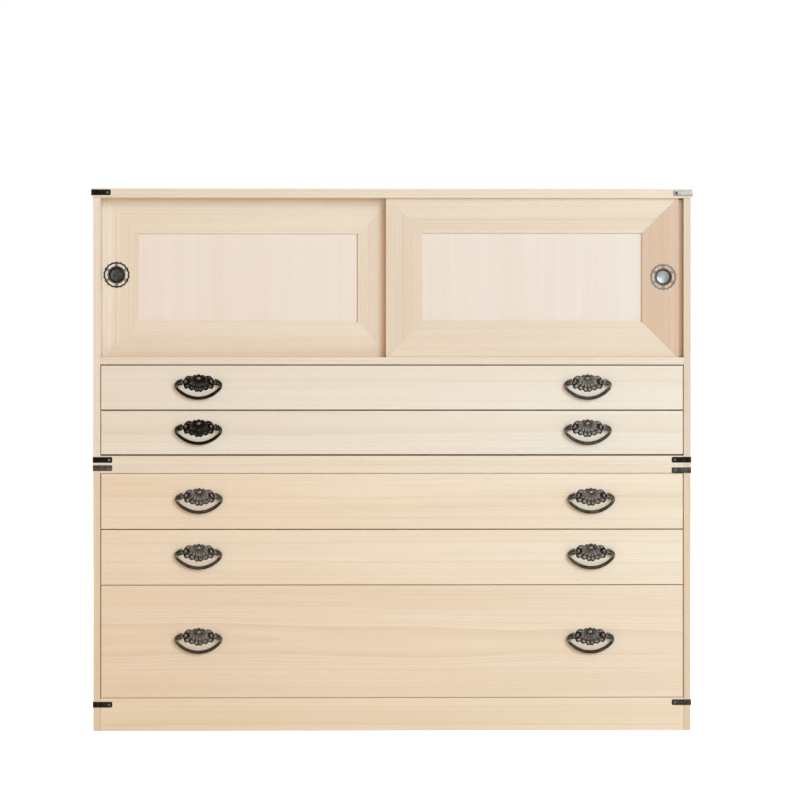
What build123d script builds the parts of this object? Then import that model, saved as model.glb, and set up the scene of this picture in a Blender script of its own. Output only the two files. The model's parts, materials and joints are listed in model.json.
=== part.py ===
"""Isho-dansu: a two-piece clothing chest of paulownia, with sliding doors and five drawers.

The lower case stands on the floor and holds three drawers. The upper case is set down on it over four
pegs, and holds two shallow drawers below a compartment with two sliding doors. The doors and drawer
fronts carry dark iron fittings: openwork finger pulls, and bails hung in eyes on scalloped plates.

Frame: millimetres, +X to the right, +Z up, the front faces -Y. The origin is on the floor, below the
middle of the whole chest, handles and all.
"""

import os
from math import asin, cos, hypot, radians, sin

from build123d import *

# ---------------------------------------------------------------- cases
BODY_W = 1055.0  # across the side panels
DEPTH = 430.0  # front edge to back of the cases
PANEL_T = 12.3  # side panels
BACK_T = 8.0  # back panels
BACK_LAP = 6.0  # width of the rebate that takes a back panel
HOUSING = 4.0  # depth of the grooves that shelves and boards are let into
REVEAL = 2.2  # gap above and below each drawer front
EDGE = 0.8  # the fine chamfer on the front edges

PLINTH_H = 58.0
LOWER_TOP_T = 14.5
UPPER_BOTTOM_T = 15.9  # at its front edge
SILL_T = 12.8
DOOR_OPENING_H = 281.5
TOP_T = 15.8
TOP_OVERHANG = 2.5  # past the sides and the front
TOP_BEVEL = 6.0  # height of the bevel under its ends
TOP_HOUSING = 5.0  # how far the side panels stand up into it

CASE_FINGERS = 5  # fingers of each corner joint of the cases
SHELF_T = 9.0  # dust boards between the drawers
LOWER_BOTTOM_T = 12.0
SHELF_CLEAR = 0.6  # behind the drawer fronts
FRONT_DROP = 2.9  # how far a drawer front hangs below the board its drawer runs on

PEG_L = 24.0  # stacking pegs, along the case
PEG_W = 10.0
PEG_H = 9.0
PEG_SINK = 8.0
PEG_CLEAR = 0.3
PEG_EASE = 1.5
PEG_X = 440.0
PEG_Y = 150.0  # from the middle of the case

# ---------------------------------------------------------------- drawers
FRONT_T = 18.0
FRONT_SIDE_GAP = 1.3
DRAWER_SEAT = 0.3  # running clearance under a drawer
HEADROOM = 1.5  # above a drawer's sides
DRAWER_REAR_GAP = 6.0
DRAWER_SIDE_T = 9.0
DRAWER_BACK_T = 8.0
DRAWER_BOTTOM_T = 6.0
DRAWER_LAP = 6.0  # what covers the ends of the drawer sides
BOTTOM_REBATE = 4.0  # ledge under each drawer side
BOTTOM_GROOVE = 5.0  # depth of the groove in the drawer front
FINGER_PITCH = 24.0  # about the height of a finger at a drawer's back corners

# name, height of the front, x of its left and right handle
DRAWERS = [
    ("drawer_1", 77.4, -341.7, 345.0),
    ("drawer_2", 77.3, -341.7, 345.0),
    ("drawer_3", 95.8, -340.8, 351.0),
    ("drawer_4", 96.4, -341.7, 351.0),
    ("drawer_5", 196.0, -341.7, 349.6),
]

# ---------------------------------------------------------------- doors
DOOR_T = 15.0
DOOR_LAP = 8.0  # how far the closed doors overlap
DOOR_SIDE_GAP = 0.5
DOOR_AJAR = 7.5  # the right door stands this far open
FRAME_W = 65.0
TRACK_LIP = 6.0  # in front of the front track
TRACK_RIDGE = 3.0  # between the tracks
TRACK_CLEAR = 0.3  # each side of a door
SILL_GROOVE = 2.8
TOP_GROOVE = 7.0
TOP_ENGAGE = 3.5
DOOR_SEAT = 0.3
DOOR_PANEL_T = 5.0
PANEL_RECESS = 4.2
PANEL_GROOVE = 7.0
PANEL_FLOAT = 0.5  # the panel's play at the bottom of its groove
TENON_T = 5.0
TENON_H = 24.0
TENON_MARGIN = 12.0  # from a tenon to the frame's outer edges

# ---------------------------------------------------------------- finger pulls
PULL_D = 46.5
PULL_SCALLOPS = 18
PULL_SCALLOP_DIP = 0.9
PULL_T = 1.2
PULL_RIM = 2.6  # solid metal between the scallops' dips and the windows
PULL_WINDOWS = 6
PULL_SPOKE = 2.6
CUP_D = 28.0
CUP_SIDES = 24  # of the cup, and of the openwork round it
CUP_LIP = 2.2  # how far the openwork's hub reaches out from the cup
CUP_WALL = 1.2
CUP_DEPTH = 8.0
CUP_FLOOR_D = 21.6
# The pulls are let in by hand, so they sit a little differently on the two doors.
PULL_INSET = {"left": 25.6, "right": 27.3}  # from the door's outer edge
PULL_RISE = {"left": 5.8, "right": 1.7}  # above the middle of the door opening

# ---------------------------------------------------------------- handles
HANDLE_RISE = 11.5  # pivot above the middle of the drawer front
PIVOT_OUT = 7.0  # pivot in front of the drawer front
PLATE_T = 1.2
LOBE_CHORDS = 3  # straight cuts round each lobe of the plate
PETAL_CUT = 0.6  # depth and half width of the cuts between the petals
BOSS_R = 4.3
BOSS_SIDES = 8
BOSS_H = 1.6
BOSS_RISE = 4.6
EYE_X = 22.5
EYE_W = 4.0
EYE_R = 3.1
EYE_SIDES = 8
EYE_SHANK = 3.2
EYE_LEG_T = 1.3
EYE_LEG_L = 9.0
PIN_D = 2.8  # across the corners of the forged pin
PIN_SIDES = 8
PIN_CLEAR = 0.06
PIN_PROUD = 0.7
BAIL_W = 84.0
BAIL_DROP = 33.0
BAIL_T = 4.4  # front to back
BAIL_BELLY = 5.0  # at the bottom of the bow
BAIL_NECK = 3.4  # where the bow turns up
BAIL_SIDE_Z = -9.0  # where the bow is widest
BOW_IN = 2.5  # from there to where the bow turns up, inwards
BOW_FALL = 5.6  # and downwards
CROOK = 1.8  # the cut corner between the bow and a wing
WING_IN = 1.2  # from the eye to the wing
WING_TOP = 4.0
WING_LOW = -7.7
WING_TIP_Z = -2.8
WING_TIP_IN = 1.1
WING_CROWN = 1.6  # rise of the wing's upper edge over a straight line
BAIL_CHORDS = 5  # straight cuts along each half of the bow
BAIL_BEVEL = 1.2  # round the front

# ---------------------------------------------------------------- corner straps
STRAP_L = 33.5
STRAP_H = 10.0
STRAP_T = 0.8
STRAP_POINT = 2.0
NAIL_D = 5.0
NAIL_SIDES = 6
NAIL_H = 1.3
NAIL_INSET = 5.6
NAIL_SHANK = 1.8
NAIL_L = 11.0
STRAP_LIFT = {  # left and right strap above the middle of what they clasp
    "top": (1.1, 0.3),
    "upper_foot": (0.8, 0.9),
    "lower_head": (1.5, -2.4),
    "plinth": (17.8, 20.6),
}

# ---------------------------------------------------------------- derived places
FRONT_Y = (PIVOT_OUT + EYE_R - DEPTH) / 2
BACK_Y = FRONT_Y + DEPTH
HALF_W = BODY_W / 2
INNER = HALF_W - PANEL_T
BOARD_BACK = BACK_Y - BACK_T
SHELF_FRONT = FRONT_Y + FRONT_T + SHELF_CLEAR

HEIGHT = {name: height for name, height, _, _ in DRAWERS}
FRONT_Z = {}
FRONT_Z["drawer_5"] = PLINTH_H + REVEAL
FRONT_Z["drawer_4"] = FRONT_Z["drawer_5"] + HEIGHT["drawer_5"] + REVEAL
FRONT_Z["drawer_3"] = FRONT_Z["drawer_4"] + HEIGHT["drawer_4"] + REVEAL
LOWER_TOP_Z = FRONT_Z["drawer_3"] + HEIGHT["drawer_3"] + REVEAL
SEAM_Z = LOWER_TOP_Z + LOWER_TOP_T
UPPER_FLOOR_Z = SEAM_Z + UPPER_BOTTOM_T
FRONT_Z["drawer_2"] = UPPER_FLOOR_Z + REVEAL
FRONT_Z["drawer_1"] = FRONT_Z["drawer_2"] + HEIGHT["drawer_2"] + REVEAL
SILL_Z = FRONT_Z["drawer_1"] + HEIGHT["drawer_1"] + REVEAL
OPENING_Z = SILL_Z + SILL_T
TOP_Z = OPENING_Z + DOOR_OPENING_H
OVERALL_H = TOP_Z + TOP_T

RUN_Z = {name: z + FRONT_DROP for name, z in FRONT_Z.items()}
SIDE_STEP = SHELF_T - FRONT_DROP - REVEAL + HEADROOM

TRACK_W = DOOR_T + 2 * TRACK_CLEAR
FRONT_TRACK_Y = FRONT_Y + TRACK_LIP
REAR_TRACK_Y = FRONT_TRACK_Y + TRACK_W + TRACK_RIDGE
DOOR_W = INNER - DOOR_SIDE_GAP + DOOR_LAP / 2
DOOR_Z0 = OPENING_Z - SILL_GROOVE + DOOR_SEAT
DOOR_Z1 = TOP_Z + TOP_ENGAGE
PULL_Z = {side: OPENING_Z + DOOR_OPENING_H / 2 + rise for side, rise in PULL_RISE.items()}

CORNERS = {  # x of the left corner, y of the front and middle height of what each pair of straps clasps
    "top": (-HALF_W - TOP_OVERHANG, FRONT_Y - TOP_OVERHANG, TOP_Z + TOP_T / 2),
    "upper_foot": (-HALF_W, FRONT_Y, SEAM_Z + UPPER_BOTTOM_T / 2),
    "lower_head": (-HALF_W, FRONT_Y, LOWER_TOP_Z + LOWER_TOP_T / 2),
    "plinth": (-HALF_W, FRONT_Y, PLINTH_H / 2),
}


# ---------------------------------------------------------------- helpers
def block(x0, x1, y0, y1, z0, z1):
    """A board between the given limits."""
    solid = Box(x1 - x0, y1 - y0, z1 - z0)
    return Pos((x0 + x1) / 2, (y0 + y1) / 2, (z0 + z1) / 2) * solid


def mirrored(solid):
    """The same piece for the other side of the chest."""
    return mirror(solid, about=Plane.YZ)


def front_edges(solid, y):
    """The outline of the face that lies at y."""
    face = solid.faces().sort_by(Axis.Y)[0]
    return [edge for edge in face.edges() if abs(edge.center().Y - y) < 0.01]


def eased(solid):
    """Breaks the edges round the front face."""
    y = solid.bounding_box().min.Y
    return chamfer(front_edges(solid, y), EDGE)


def spans(low, high, count):
    """Equal shares of a length, as pairs of limits."""
    step = (high - low) / count
    return [(low + i * step, low + (i + 1) * step) for i in range(count)]


def chords(curve, count):
    """The corners of straight cuts along a curve, without its last point."""
    return [curve @ (k / count) for k in range(count)]


def save(node, *solids):
    """Writes one node, with each piece a solid of its own."""
    pieces = []
    for item in solids:
        pieces.extend(item.solids())
    export_step(Compound(label=node, children=pieces), f"parts/{node}.step")


# ---------------------------------------------------------------- cases
def finger_slots(z0, z1):
    """The side panels' share of a corner joint: the first, third and fifth finger are theirs."""
    limits = spans(FRONT_Y, BOARD_BACK, CASE_FINGERS)
    return [block(-HALF_W, -INNER, y0, y1, z0, z1) for y0, y1 in limits[1::2]]


def side_panel(z0, z1, joints, grooves, tongue_top):
    """The left side panel of a case. joints are boards fingered into it, grooves are let-in boards."""
    panel = block(-HALF_W, -INNER, FRONT_Y, BACK_Y, z0, z1)
    for low, high in joints:
        for slot in finger_slots(low, high):
            panel -= slot
    for y0, y1, low, high in grooves:
        panel -= block(-INNER - HOUSING, -INNER, y0, y1, low, high)
    panel -= block(-INNER - BACK_LAP, -INNER, BOARD_BACK, BACK_Y, z0, z1)
    if tongue_top:
        panel += block(-HALF_W + HOUSING, -INNER - HOUSING / 4, FRONT_Y + FRONT_T, BOARD_BACK, z1, z1 + TOP_HOUSING)
    return panel


def fingered_board(z0, z1, y1):
    """A board across a case, fingered into both side panels."""
    board = block(-INNER, INNER, FRONT_Y, y1, z0, z1)
    for slot in finger_slots(z0, z1):
        board += slot
        board += mirrored(slot)
    return board


def let_in_board(y0, y1, z0, z1):
    """A board across a case with its ends in grooves."""
    return block(-INNER - HOUSING, INNER + HOUSING, y0, y1, z0, z1)


def back_panel(z0, z1):
    return block(-INNER - BACK_LAP, INNER + BACK_LAP, BOARD_BACK, BACK_Y, z0, z1)


def peg_places():
    middle = (FRONT_Y + BACK_Y) / 2
    return [(x, middle + y) for x in (-PEG_X, PEG_X) for y in (-PEG_Y, PEG_Y)]


def peg_block(x, y, z0, z1, clear):
    """A stacking peg, or with a clearance the mortise that takes it."""
    half_l, half_w = PEG_L / 2 + clear, PEG_W / 2 + clear
    return block(x - half_l, x + half_l, y - half_w, y + half_w, z0, z1)


def shelf_under(name):
    """The limits of the dust board that a drawer runs on."""
    return SHELF_FRONT, BOARD_BACK, RUN_Z[name] - SHELF_T, RUN_Z[name]


def lower_case():
    bottom_z = RUN_Z["drawer_5"] - LOWER_BOTTOM_T
    plinth_tongue = (FRONT_Y + FRONT_T / 4, FRONT_Y + FRONT_T * 3 / 4)
    shelves = {"lower_shelf_1": shelf_under("drawer_3"), "lower_shelf_2": shelf_under("drawer_4")}
    grooves = list(shelves.values())
    grooves.append((FRONT_Y + FRONT_T, BOARD_BACK, bottom_z, RUN_Z["drawer_5"]))
    grooves.append((*plinth_tongue, 0, PLINTH_H))
    side = side_panel(0, SEAM_Z, [(LOWER_TOP_Z, SEAM_Z)], grooves, False)
    save("lower_side_left", nailed(side, "lower_head", "plinth"))
    save("lower_side_right", nailed(mirrored(side), "lower_head", "plinth"))

    top = fingered_board(LOWER_TOP_Z, SEAM_Z, BOARD_BACK)
    pegs = []
    for x, y in peg_places():
        peg = peg_block(x, y, SEAM_Z - PEG_SINK, SEAM_Z + PEG_H, 0)
        top -= peg
        pegs.append(chamfer(peg.faces().sort_by(Axis.Z)[-1].edges(), PEG_EASE))
    save("lower_top_board", nailed(top, "lower_head"), *pegs)

    for name, limits in shelves.items():
        save(name, let_in_board(*limits))
    save("lower_bottom_board", let_in_board(FRONT_Y + FRONT_T, BOARD_BACK, bottom_z, RUN_Z["drawer_5"]))
    plinth = eased(block(-INNER, INNER, FRONT_Y, FRONT_Y + FRONT_T, 0, PLINTH_H))
    plinth += let_in_board(*plinth_tongue, 0, PLINTH_H)
    save("plinth", nailed(plinth, "plinth"))
    save("lower_back_panel", back_panel(bottom_z, SEAM_Z))


def upper_case():
    floor_z = RUN_Z["drawer_2"]
    shelf = shelf_under("drawer_1")
    sill_limits = (FRONT_Y + FRONT_T, BOARD_BACK, SILL_Z, OPENING_Z)
    side = side_panel(SEAM_Z, TOP_Z, [(SEAM_Z, UPPER_FLOOR_Z)], [shelf, sill_limits], True)
    save("upper_side_left", nailed(side, "upper_foot"))
    save("upper_side_right", nailed(mirrored(side), "upper_foot"))

    bottom = fingered_board(SEAM_Z, UPPER_FLOOR_Z, BOARD_BACK)
    bottom += block(-INNER, INNER, SHELF_FRONT, BOARD_BACK, UPPER_FLOOR_Z, floor_z)
    for x, y in peg_places():
        bottom -= peg_block(x, y, SEAM_Z, SEAM_Z + PEG_H + PEG_CLEAR, PEG_CLEAR)
    save("upper_bottom_board", nailed(bottom, "upper_foot"))
    save("upper_shelf", let_in_board(*shelf))

    sill = block(-INNER, INNER, FRONT_Y, BOARD_BACK, SILL_Z, OPENING_Z)
    sill += let_in_board(*sill_limits)
    top = block(
        -HALF_W - TOP_OVERHANG, HALF_W + TOP_OVERHANG, FRONT_Y - TOP_OVERHANG, BACK_Y, TOP_Z, OVERALL_H
    )
    ends = [e for e in top.edges().filter_by(Axis.Y) if e.center().Z < TOP_Z + 1]
    top = chamfer(ends, length=TOP_BEVEL, length2=TOP_OVERHANG - 0.3)
    top -= block(-INNER - BACK_LAP, INNER + BACK_LAP, BOARD_BACK, BACK_Y, TOP_Z, TOP_Z + TOP_HOUSING)
    for y in (FRONT_TRACK_Y, REAR_TRACK_Y):
        sill -= block(-INNER, INNER, y, y + TRACK_W, OPENING_Z - SILL_GROOVE, OPENING_Z)
        top -= block(-INNER, INNER, y, y + TRACK_W, TOP_Z, TOP_Z + TOP_GROOVE)
    tongue = block(
        -HALF_W + HOUSING, -INNER - HOUSING / 4, FRONT_Y + FRONT_T, BOARD_BACK, TOP_Z, TOP_Z + TOP_HOUSING
    )
    top -= tongue
    top -= mirrored(tongue)
    save("door_sill", sill)
    save("top_board", nailed(top, "top"))
    save("upper_back_panel", back_panel(SEAM_Z, TOP_Z + TOP_HOUSING))


# ---------------------------------------------------------------- corner straps
def nail():
    """A wrought nail with a faceted head, standing on its shank, head upwards."""
    head = Plane.XY * RegularPolygon(NAIL_D / 2, NAIL_SIDES)
    tip = Plane.XY.offset(NAIL_H) * RegularPolygon(NAIL_D / 4, NAIL_SIDES)
    solid = loft([head, tip], ruled=True)
    solid += Pos(0, 0, -NAIL_L / 2) * Box(NAIL_SHANK, NAIL_SHANK, NAIL_L)
    return solid


def strap():
    """A strap round a left front corner, which lies at the origin, and its two nails."""
    outline = Polyline(
        (-STRAP_T, -STRAP_H / 2),
        (STRAP_L - STRAP_POINT, -STRAP_H / 2),
        (STRAP_L, -STRAP_H / 4),
        (STRAP_L, STRAP_H / 4),
        (STRAP_L - STRAP_POINT, STRAP_H / 2),
        (-STRAP_T, STRAP_H / 2),
        close=True,
    )
    leg = extrude(Plane.XZ * make_face(outline), STRAP_T)
    solid = leg + Rot(0, 0, 90) * mirror(leg, about=Plane.XZ)
    hole = Box(NAIL_SHANK, NAIL_SHANK, 4 * STRAP_T)
    front = Pos(STRAP_L - NAIL_INSET, -STRAP_T, 0) * Rot(90, 0, 0)
    side = Pos(-STRAP_T, STRAP_L - NAIL_INSET, 0) * Rot(0, -90, 0)
    solid -= front * hole
    solid -= side * hole
    return [solid, front * nail(), side * nail()]


def nail_holes():
    """The holes driven by a strap's nails."""
    depth = NAIL_L - STRAP_T
    shank = Pos(0, 0, -depth / 2) * Box(NAIL_SHANK, NAIL_SHANK, depth)
    front = Pos(STRAP_L - NAIL_INSET, 0, 0) * Rot(90, 0, 0)
    side = Pos(0, STRAP_L - NAIL_INSET, 0) * Rot(0, -90, 0)
    return [front * shank, side * shank]


def at_corners(name, pieces):
    """The pieces of one strap, at the left and at the right corner."""
    x, y, z = CORNERS[name]
    left, right = STRAP_LIFT[name]
    placed = [Pos(x, y, z + left) * piece for piece in pieces]
    return placed + [mirrored(Pos(x, y, z + right) * piece) for piece in pieces]


def nailed(solid, *names):
    """The board or panel with the holes of the named straps' nails."""
    for name in names:
        for hole in at_corners(name, nail_holes()):
            solid -= hole
    return solid


# ---------------------------------------------------------------- doors
def door(side):
    """One sliding door, drawn as the left one about x = 0 at its outer edge."""
    y0 = REAR_TRACK_Y + TRACK_CLEAR
    if side == "right":
        y0 = FRONT_TRACK_Y + TRACK_CLEAR
    height = DOOR_Z1 - DOOR_Z0
    panel_y = y0 + PANEL_RECESS
    stile_face = Polyline(
        (0, DOOR_Z0), (FRAME_W, DOOR_Z0 + FRAME_W), (FRAME_W, DOOR_Z1 - FRAME_W), (0, DOOR_Z1), close=True
    )
    rail_face = Polyline(
        (0, DOOR_Z0), (DOOR_W, DOOR_Z0), (DOOR_W - FRAME_W, DOOR_Z0 + FRAME_W), (FRAME_W, DOOR_Z0 + FRAME_W),
        close=True,
    )
    stile = Pos(0, y0, 0) * extrude(Plane.XZ * make_face(stile_face), -DOOR_T)
    rail = Pos(0, y0, 0) * extrude(Plane.XZ * make_face(rail_face), -DOOR_T)
    middle = Plane.YZ.offset(DOOR_W / 2)
    level = Plane.XY.offset((DOOR_Z0 + DOOR_Z1) / 2)
    stiles = [stile, mirror(stile, about=middle)]
    rails = [rail, mirror(rail, about=level)]

    tenon_y = panel_y + (DOOR_PANEL_T - TENON_T) / 2
    tenon = block(
        TENON_MARGIN, FRAME_W - PANEL_GROOVE, tenon_y, tenon_y + TENON_T,
        DOOR_Z0 + TENON_MARGIN, DOOR_Z0 + TENON_MARGIN + TENON_H,
    )
    tenons = [tenon, mirror(tenon, about=middle)]
    tenons += [mirror(t, about=level) for t in tenons]
    groove = block(
        FRAME_W - PANEL_GROOVE, DOOR_W - FRAME_W + PANEL_GROOVE, panel_y, panel_y + DOOR_PANEL_T,
        DOOR_Z0 + FRAME_W - PANEL_GROOVE, DOOR_Z1 - FRAME_W + PANEL_GROOVE,
    )
    for i in range(2):
        for t in tenons:
            stiles[i] -= t
        stiles[i] -= groove
        rails[i] -= groove
    rails[0] += tenons[0] + tenons[1]
    rails[1] += tenons[2] + tenons[3]
    reach = PANEL_GROOVE - PANEL_FLOAT
    panel = block(
        FRAME_W - reach, DOOR_W - FRAME_W + reach, panel_y, panel_y + DOOR_PANEL_T,
        DOOR_Z0 + FRAME_W - PANEL_GROOVE, DOOR_Z1 - FRAME_W + reach,
    )
    seat = Pos(PULL_INSET[side], y0, PULL_Z[side]) * Rot(-90, 0, 0)
    stiles[0] -= seat * extrude(RegularPolygon(CUP_D / 2, CUP_SIDES), CUP_DEPTH)
    pieces = {
        "stiles": stiles,
        "rails": rails,
        "panel": [panel],
        "pull": [seat * finger_pull()],
    }
    place = Pos(-INNER + DOOR_SIDE_GAP, 0, 0)
    if side == "right":
        place = Pos(-INNER + DOOR_SIDE_GAP + DOOR_AJAR, 0, 0)
    for name, solids in pieces.items():
        solids = [place * solid for solid in solids]
        if side == "right":
            solids = [mirrored(solid) for solid in solids]
        save(f"door_{side}_{name}", *solids)


def finger_pull():
    """Openwork rosette with a turned cup, its flange on z = 0 and the cup towards +z."""
    step = 360 / PULL_SCALLOPS
    dip_r = PULL_D / 2 - PULL_SCALLOP_DIP
    outline = []
    for i in range(PULL_SCALLOPS):
        a, b, c = (radians(step * (i + k)) for k in (0, 0.5, 1))
        scallop = ThreePointArc(
            (dip_r * cos(a), dip_r * sin(a)),
            (PULL_D / 2 * cos(b), PULL_D / 2 * sin(b)),
            (dip_r * cos(c), dip_r * sin(c)),
        )
        outline.extend(chords(scallop, LOBE_CHORDS))
    plate = extrude(make_face(Polyline(*outline, close=True)), -PULL_T)
    outer = dip_r - PULL_RIM
    window = RegularPolygon(outer, CUP_SIDES) - RegularPolygon(CUP_D / 2 + CUP_LIP, CUP_SIDES)
    turn = 360 / PULL_WINDOWS
    for i in range(PULL_WINDOWS):
        window -= Rot(0, 0, 90 + turn * i) * Pos(outer / 2, 0) * Rectangle(outer, PULL_SPOKE)
    plate -= extrude(window, -PULL_T)

    r_in = CUP_D / 2 - CUP_WALL
    cove = r_in - CUP_FLOOR_D / 2
    knee = Plane.XY.offset(CUP_DEPTH - CUP_WALL - cove) * RegularPolygon(r_in, CUP_SIDES)
    plate += extrude(RegularPolygon(CUP_D / 2, CUP_SIDES), CUP_DEPTH)
    plate -= extrude(knee, -CUP_DEPTH - PULL_T)
    return plate - extrude(knee, cove, taper=45)


# ---------------------------------------------------------------- handles
def plate_cusps():
    """Where the lobes of a handle plate meet, about the pivot, clockwise from the top lobe's right end."""
    right = [(3.9, 9.9), (11.2, 7.6), (26.0, 1.8), (25.9, -7.6), (17.8, -12.2), (8.3, -14.9)]
    return right + [(0, -17.9)] + [(-x, z) for x, z in reversed(right)]


def plate_crests():
    """The outermost point of the lobe that follows each cusp."""
    right = [(8.0, 11.0), (19.2, 8.9), (27.4, -3.0), (23.4, -13.3), (13.2, -16.4), (4.4, -19.1)]
    return right + [(-x, z) for x, z in reversed(right)] + [(0, 12.3)]


def handle_plate():
    """Plate with petals cut round a boss, in front of y = 0."""
    cusps = plate_cusps()
    outline = []
    for i, crest in enumerate(plate_crests()):
        lobe = ThreePointArc(cusps[i], crest, cusps[(i + 1) % len(cusps)])
        outline.extend(chords(lobe, LOBE_CHORDS))
    plate = extrude(Plane.XZ * make_face(Polyline(*outline, close=True)), PLATE_T)
    groove = make_face(
        Polyline((-PETAL_CUT, PETAL_CUT / 8), (PETAL_CUT, PETAL_CUT / 8), (0, -PETAL_CUT), close=True)
    )
    for x, z in cusps:
        dx, dz = x, z - BOSS_RISE
        along = Plane(origin=(0, -PLATE_T, BOSS_RISE), x_dir=(dz, 0, -dx), z_dir=(dx, 0, dz))
        plate -= extrude(along * groove, hypot(dx, dz) + PLATE_T)
    boss = loft(
        [
            Plane.XZ.offset(PLATE_T / 2) * Pos(0, BOSS_RISE) * RegularPolygon(BOSS_R, BOSS_SIDES),
            Plane.XZ.offset(PLATE_T + BOSS_H) * Pos(0, BOSS_RISE) * RegularPolygon(BOSS_R / 2, BOSS_SIDES),
        ],
        ruled=True,
    )
    return plate + boss


def eye(wall):
    """A forged eye on a square shank, with its legs clinched behind a wall of the given thickness."""
    at_pivot = Plane.YZ * Pos(-PIVOT_OUT, 0)
    hole = RegularPolygon(PIN_D / 2 + PIN_CLEAR, PIN_SIDES, major_radius=False)
    ring = at_pivot * RegularPolygon(EYE_R, EYE_SIDES, major_radius=False)
    solid = extrude(ring, EYE_W / 2, both=True)
    solid += block(-EYE_W / 2, EYE_W / 2, -PIVOT_OUT, -PLATE_T, -EYE_R, EYE_R)
    half = EYE_SHANK / 2
    solid += block(-half, half, -PLATE_T, wall + EYE_LEG_T, -half, half)
    solid += block(-half, half, wall, wall + EYE_LEG_T, -EYE_LEG_L, EYE_LEG_L)
    return solid - extrude(at_pivot * hole, EYE_W, both=True)


def bail_outline():
    """Front outline of a bail about its pivot: a crescent whose ends turn into leaf-shaped wings."""
    half_w = BAIL_W / 2
    wing_x = EYE_X + EYE_W / 2 + WING_IN
    end_x, end_z = half_w - BOW_IN, BAIL_SIDE_Z - BOW_FALL
    lift = end_z + BAIL_DROP
    slope = asin(end_x / ((end_x**2 + lift**2) / (2 * lift)))
    bow = ThreePointArc((-end_x, end_z), (0, -BAIL_DROP), (end_x, end_z))
    side = TangentArc((end_x, end_z), (half_w, BAIL_SIDE_Z), tangent=(cos(slope), sin(slope)))
    tip = (half_w - WING_TIP_IN, WING_TIP_Z)
    shoulder = TangentArc(side @ 1, tip, tangent=side % 1)
    crest = ((tip[0] + wing_x) / 2 + 1, (tip[1] + WING_TOP) / 2 + WING_CROWN)
    wing = ThreePointArc(tip, crest, (wing_x, WING_TOP))
    corner = (half_w - BAIL_NECK - WING_TIP_IN, BAIL_SIDE_Z)
    in_x, in_z = end_x - BAIL_NECK * sin(slope), end_z + BAIL_NECK * cos(slope)
    belly = ThreePointArc((in_x, in_z), (0, BAIL_BELLY - BAIL_DROP), (-in_x, in_z))

    right = chords(side, 2) + chords(shoulder, 2) + chords(wing, 3)
    right += [Vector(wing_x, WING_TOP), Vector(wing_x, WING_LOW)]
    right += [Vector(corner[0] - CROOK, WING_LOW), Vector(*corner)]
    left = [Vector(-point.X, point.Y) for point in reversed(right)]
    return chords(bow, 2 * BAIL_CHORDS)[1:] + right + chords(belly, 2 * BAIL_CHORDS) + [belly @ 1] + left


def bail():
    """The swinging bow, bevelled round its front, with a pin at the inner end of each wing."""
    face = Plane.XZ.offset(-BAIL_T / 2) * make_face(Polyline(*bail_outline(), close=True))
    bow = extrude(face, BAIL_T)
    bow = chamfer(front_edges(bow, -BAIL_T / 2), BAIL_BEVEL)
    pin_in = EYE_X - EYE_W / 2 - PIN_PROUD
    pin_out = EYE_X + EYE_W / 2 + WING_IN
    pin = extrude(Plane.YZ.offset(pin_in) * RegularPolygon(PIN_D / 2, PIN_SIDES), pin_out - pin_in)
    return bow + pin + mirrored(pin)


# ---------------------------------------------------------------- drawers
def drawer(name, height, x_left, x_right):
    z0 = FRONT_Z[name]
    half = INNER - FRONT_SIDE_GAP
    floor = RUN_Z[name] + DRAWER_SEAT
    box_top = z0 + height - SIDE_STEP
    rear = BOARD_BACK - DRAWER_REAR_GAP
    inside = half - DRAWER_SIDE_T
    pivot_z = z0 + height / 2 + HANDLE_RISE

    front = eased(block(-half, half, FRONT_Y, FRONT_Y + FRONT_T, z0, z0 + height))
    front -= block(
        -inside - BOTTOM_REBATE, inside + BOTTOM_REBATE, FRONT_Y + FRONT_T - BOTTOM_GROOVE,
        FRONT_Y + FRONT_T, floor, floor + DRAWER_BOTTOM_T,
    )
    side = block(-half, -inside, FRONT_Y + DRAWER_LAP, rear, floor, box_top)
    front -= side
    front -= mirrored(side)
    side -= block(-inside - BOTTOM_REBATE, -inside, FRONT_Y, rear, floor, floor + DRAWER_BOTTOM_T)
    side += block(
        -inside - BOTTOM_REBATE, -inside, FRONT_Y + DRAWER_LAP, FRONT_Y + FRONT_T - BOTTOM_GROOVE,
        floor, floor + DRAWER_BOTTOM_T,
    )
    bottom = block(
        -inside - BOTTOM_REBATE, inside + BOTTOM_REBATE, FRONT_Y + FRONT_T - BOTTOM_GROOVE, rear,
        floor, floor + DRAWER_BOTTOM_T,
    )
    back_z = floor + DRAWER_BOTTOM_T
    back = block(-inside, inside, rear - DRAWER_BACK_T, rear, back_z, box_top)
    fingers = 2 * round((box_top - back_z) / FINGER_PITCH / 2) + 1
    for low, high in spans(back_z, box_top, fingers)[1::2]:
        finger = block(-half, -inside, rear - DRAWER_BACK_T, rear, low, high)
        side -= finger
        back += finger
        back += mirrored(finger)

    wall = FRONT_T
    plates, bails = [], []
    for x in (x_left, x_right):
        place = Pos(x, FRONT_Y, pivot_z)
        sheet = handle_plate()
        for dx in (-EYE_X, EYE_X):
            half_s = EYE_SHANK / 2
            hole = block(dx - half_s, dx + half_s, -2 * PLATE_T, wall, -half_s, half_s)
            sheet -= hole
            front -= place * hole
            plates.append(place * Pos(dx, 0, 0) * eye(wall))
        plates.append(place * sheet)
        bails.append(place * Pos(0, -PIVOT_OUT, 0) * bail())
    save(f"{name}_front", front)
    save(f"{name}_sides", side, mirrored(side))
    save(f"{name}_back", back)
    save(f"{name}_bottom", bottom)
    save(f"{name}_handle_plates", *plates)
    save(f"{name}_bail_left", bails[0])
    save(f"{name}_bail_right", bails[1])


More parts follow.
